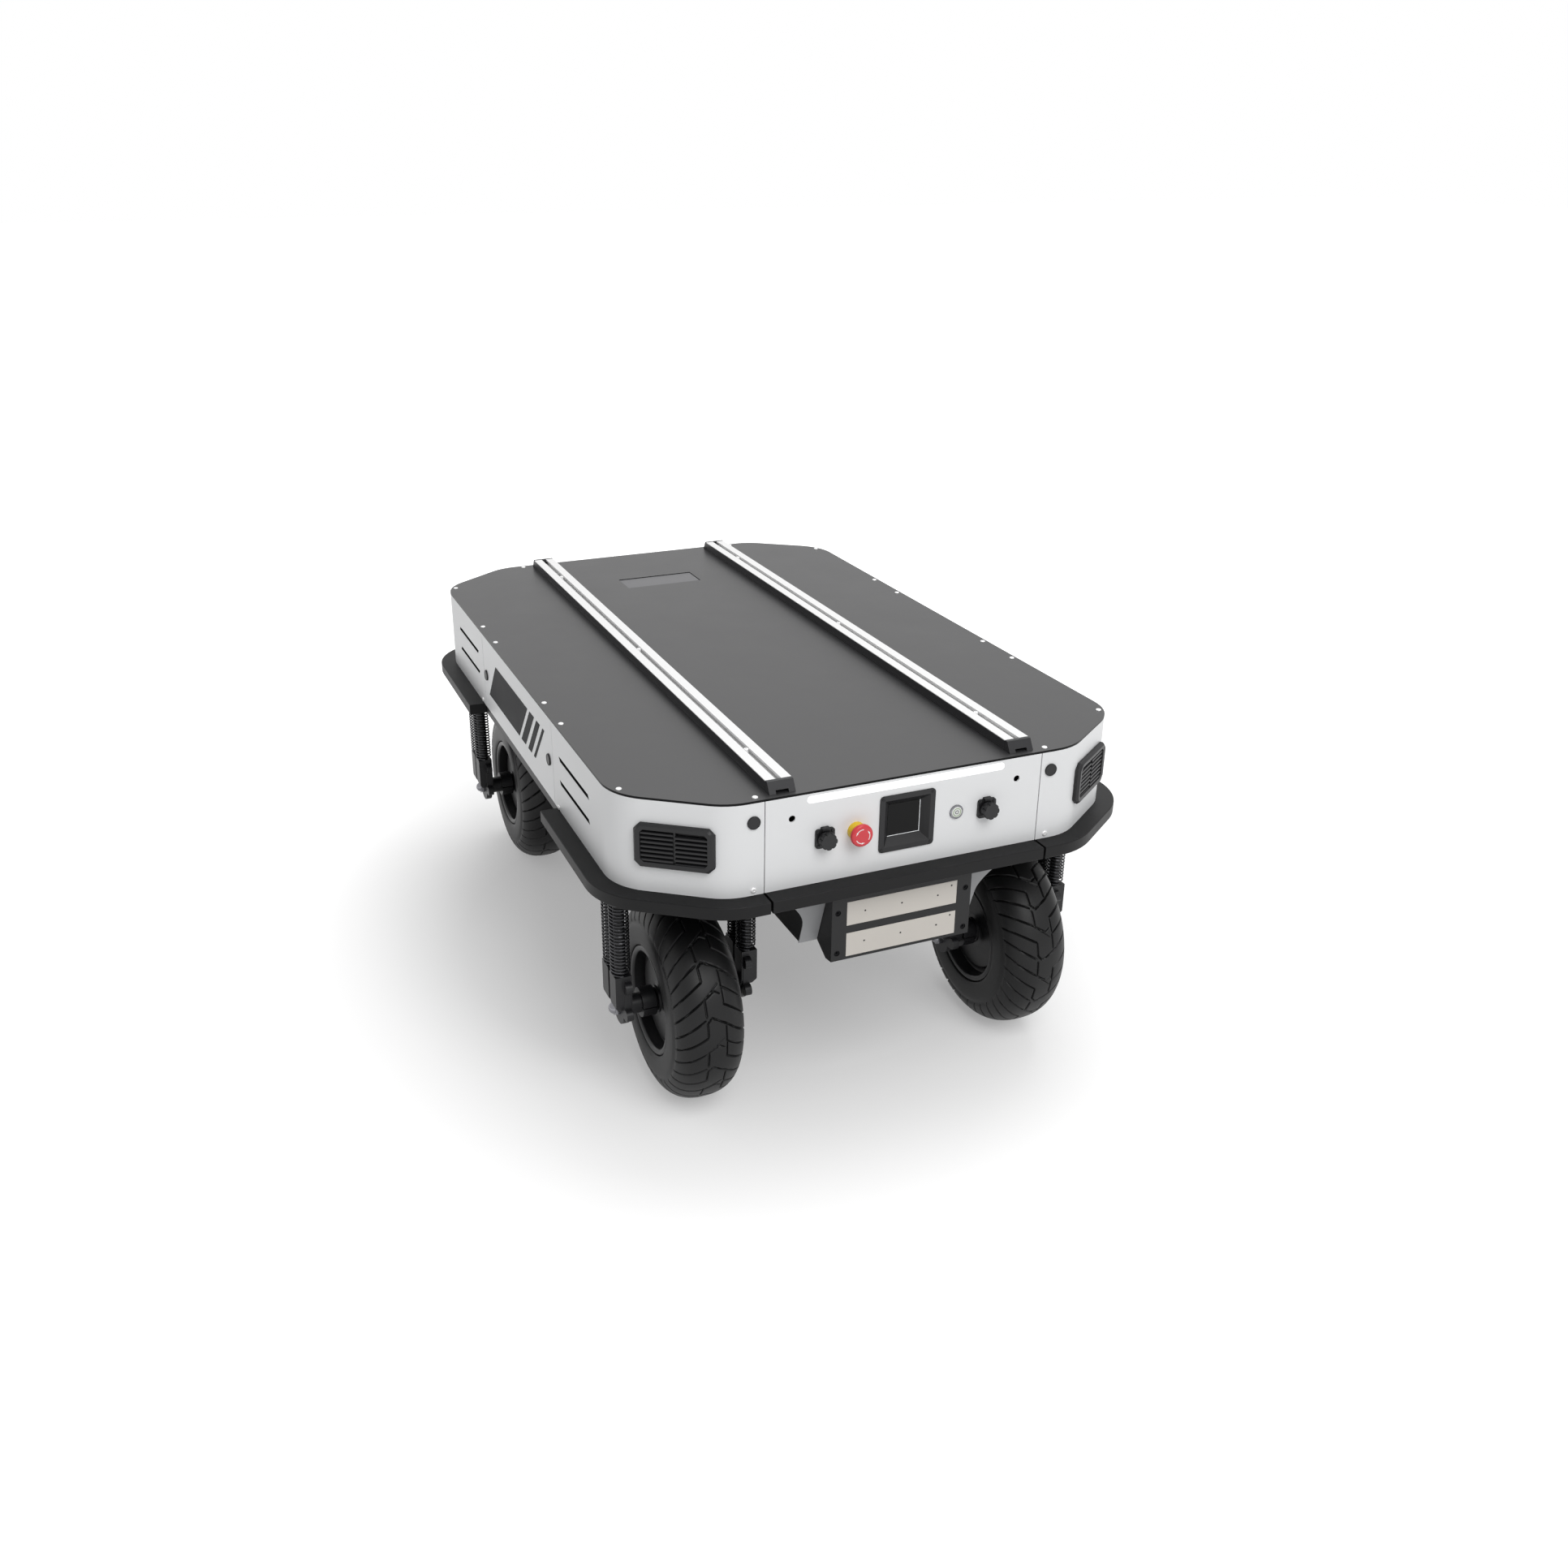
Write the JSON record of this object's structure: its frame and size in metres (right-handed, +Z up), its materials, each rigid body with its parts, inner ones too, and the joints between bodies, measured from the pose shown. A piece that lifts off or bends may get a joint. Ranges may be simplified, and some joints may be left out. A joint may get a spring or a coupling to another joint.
{
  "type": "four wheel robot chassis",
  "caption": "Low rectangular robot base with T-slot rails on a flat deck, a front control panel, and wheels on sprung, steerable fork struts under the corners.",
  "frame": {"origin": "on the floor under the middle of the body, half way between the wheels", "axes": "+X forwards, towards the face with the display and emergency stop; +Y to the robot's left; +Z up"},
  "size_m": [1.515, 1.014, 0.6673],
  "materials": {
    "cover_paint": "satin white powder coat",
    "deck_paint": "matt dark grey powder coat",
    "frame_paint": "matt black powder coat",
    "tray_paint": "satin light grey",
    "strut_paint": "matt black",
    "hub_paint": "satin black",
    "spring_steel": "satin black coat",
    "screw_steel": "dark steel",
    "bearing_steel": "ground",
    "button_steel": "turned ring",
    "axle_chrome": "bright plated",
    "rail_aluminium": "clear anodised",
    "housing_aluminium": "cast and milled",
    "port_metal": "black anodised",
    "tyre_rubber": "matt with moulded tread",
    "bumper_rubber": "matt foam rubber",
    "black_plastic": "fine grain",
    "window_plastic": "smooth antenna cover",
    "beige_plastic": "smooth",
    "button_face": "pale face with a green ring",
    "red_plastic": "moulded",
    "yellow_plastic": "moulded",
    "light_diffuser": "frosted white",
    "screen_glass": "dark display glass"
  },
  "bodies": {
    "chassis": {"base_plate": "frame_paint", "frame_skirt": "frame_paint", "top_frame": "frame_paint", "deck_beams": "frame_paint", "frame_posts": "frame_paint", "deck_plate": "deck_paint", "deck_window": "window_plastic", "screws_and_bolts": "screw_steel", "payload_rails": "rail_aluminium", "rail_bases": "black_plastic", "end_panels": "cover_paint", "side_panels": "cover_paint", "corner_covers": "cover_paint", "end_bumpers": "bumper_rubber", "corner_bumpers": "bumper_rubber", "corner_grilles": "black_plastic", "ultrasonic_sensors": "black_plastic", "light_strips": "light_diffuser", "display_bezel": "black_plastic", "display_screen": "screen_glass", "estop_collar": "yellow_plastic", "power_button_bezel": "button_steel", "charge_ports": "port_metal", "battery_box": "frame_paint", "battery_fascias": "beige_plastic", "battery_packs": "black_plastic", "underbody_tray": "tray_paint", "tray_end_sheets": "tray_paint", "electronics_housings": "housing_aluminium", "steering_gearboxes": "housing_aluminium", "steering_bearings": "bearing_steel"},
    "estop_stem": {"estop_stem": "black_plastic"},
    "estop_head": {"estop_head": "red_plastic"},
    "power_button": {"power_button_cap": "button_face"},
    "port_cap_left": {"port_cap_left": "port_metal"},
    "port_cap_right": {"port_cap_right": "port_metal"},
    "fork_front_left": {"fork_front_left": "strut_paint", "springs_front_left": "spring_steel"},
    "axle_carrier_front_left": {"lower_legs_front_left": "strut_paint", "axle_front_left": "axle_chrome"},
    "wheel_front_left": {"wheel_hub_front_left": "hub_paint", "tyre_front_left": "tyre_rubber"},
    "fork_front_right": {"fork_front_right": "strut_paint", "springs_front_right": "spring_steel"},
    "axle_carrier_front_right": {"lower_legs_front_right": "strut_paint", "axle_front_right": "axle_chrome"},
    "wheel_front_right": {"wheel_hub_front_right": "hub_paint", "tyre_front_right": "tyre_rubber"},
    "fork_rear_left": {"fork_rear_left": "strut_paint", "springs_rear_left": "spring_steel"},
    "axle_carrier_rear_left": {"lower_legs_rear_left": "strut_paint", "axle_rear_left": "axle_chrome"},
    "wheel_rear_left": {"wheel_hub_rear_left": "hub_paint", "tyre_rear_left": "tyre_rubber"},
    "fork_rear_right": {"fork_rear_right": "strut_paint", "springs_rear_right": "spring_steel"},
    "axle_carrier_rear_right": {"lower_legs_rear_right": "strut_paint", "axle_rear_right": "axle_chrome"},
    "wheel_rear_right": {"wheel_hub_rear_right": "hub_paint", "tyre_rear_right": "tyre_rubber"}
  },
  "joints": [
    {"name": "steering_front_left", "type": "hinge", "parent": "chassis", "child": "fork_front_left", "pos_m": [0.512, 0.325, 0.452], "axis": [0, 0, 1], "range_deg": [-90, 90]},
    {"name": "suspension_front_left", "type": "slide", "parent": "fork_front_left", "child": "axle_carrier_front_left", "axis": [0, 0, 1], "range_m": [0, 0.035], "stiffness_N_per_m": 15000, "springref_m": -0.06, "deforming": ["springs_front_left"]},
    {"name": "wheel_spin_front_left", "type": "hinge", "parent": "axle_carrier_front_left", "child": "wheel_front_left", "pos_m": [0.512, 0.325, 0.1856], "axis": [0, 1, 0], "continuous": true},
    {"name": "steering_front_right", "type": "hinge", "parent": "chassis", "child": "fork_front_right", "pos_m": [0.512, -0.325, 0.452], "axis": [0, 0, 1], "range_deg": [-90, 90]},
    {"name": "suspension_front_right", "type": "slide", "parent": "fork_front_right", "child": "axle_carrier_front_right", "axis": [0, 0, 1], "range_m": [0, 0.035], "stiffness_N_per_m": 15000, "springref_m": -0.06, "deforming": ["springs_front_right"]},
    {"name": "wheel_spin_front_right", "type": "hinge", "parent": "axle_carrier_front_right", "child": "wheel_front_right", "pos_m": [0.512, -0.325, 0.1856], "axis": [0, 1, 0], "continuous": true},
    {"name": "steering_rear_left", "type": "hinge", "parent": "chassis", "child": "fork_rear_left", "pos_m": [-0.512, 0.325, 0.452], "axis": [0, 0, 1], "range_deg": [-90, 90]},
    {"name": "suspension_rear_left", "type": "slide", "parent": "fork_rear_left", "child": "axle_carrier_rear_left", "axis": [0, 0, 1], "range_m": [0, 0.035], "stiffness_N_per_m": 15000, "springref_m": -0.06, "deforming": ["springs_rear_left"]},
    {"name": "wheel_spin_rear_left", "type": "hinge", "parent": "axle_carrier_rear_left", "child": "wheel_rear_left", "pos_m": [-0.512, 0.325, 0.1856], "axis": [0, 1, 0], "continuous": true},
    {"name": "steering_rear_right", "type": "hinge", "parent": "chassis", "child": "fork_rear_right", "pos_m": [-0.512, -0.325, 0.452], "axis": [0, 0, 1], "range_deg": [-90, 90]},
    {"name": "suspension_rear_right", "type": "slide", "parent": "fork_rear_right", "child": "axle_carrier_rear_right", "axis": [0, 0, 1], "range_m": [0, 0.035], "stiffness_N_per_m": 15000, "springref_m": -0.06, "deforming": ["springs_rear_right"]},
    {"name": "wheel_spin_rear_right", "type": "hinge", "parent": "axle_carrier_rear_right", "child": "wheel_rear_right", "pos_m": [-0.512, -0.325, 0.1856], "axis": [0, 1, 0], "continuous": true},
    {"name": "estop_push", "type": "slide", "parent": "chassis", "child": "estop_stem", "axis": [-1, 0, 0], "range_m": [0, 0.004]},
    {"name": "estop_twist", "type": "hinge", "parent": "estop_stem", "child": "estop_head", "pos_m": [0.7445, -0.0935, 0.565], "axis": [1, 0, 0], "range_deg": [-45, 0], "stiffness_Nm_per_rad": 0.05},
    {"name": "power_button_press", "type": "slide", "parent": "chassis", "child": "power_button", "axis": [-1, 0, 0], "range_m": [0, 0.0025], "stiffness_N_per_m": 800, "springref_m": -0.002},
    {"name": "port_cap_left_pull", "type": "slide", "parent": "chassis", "child": "port_cap_left", "axis": [1, 0, 0], "range_m": [0, 0.02]},
    {"name": "port_cap_right_pull", "type": "slide", "parent": "chassis", "child": "port_cap_right", "axis": [1, 0, 0], "range_m": [0, 0.02]}
  ]
}
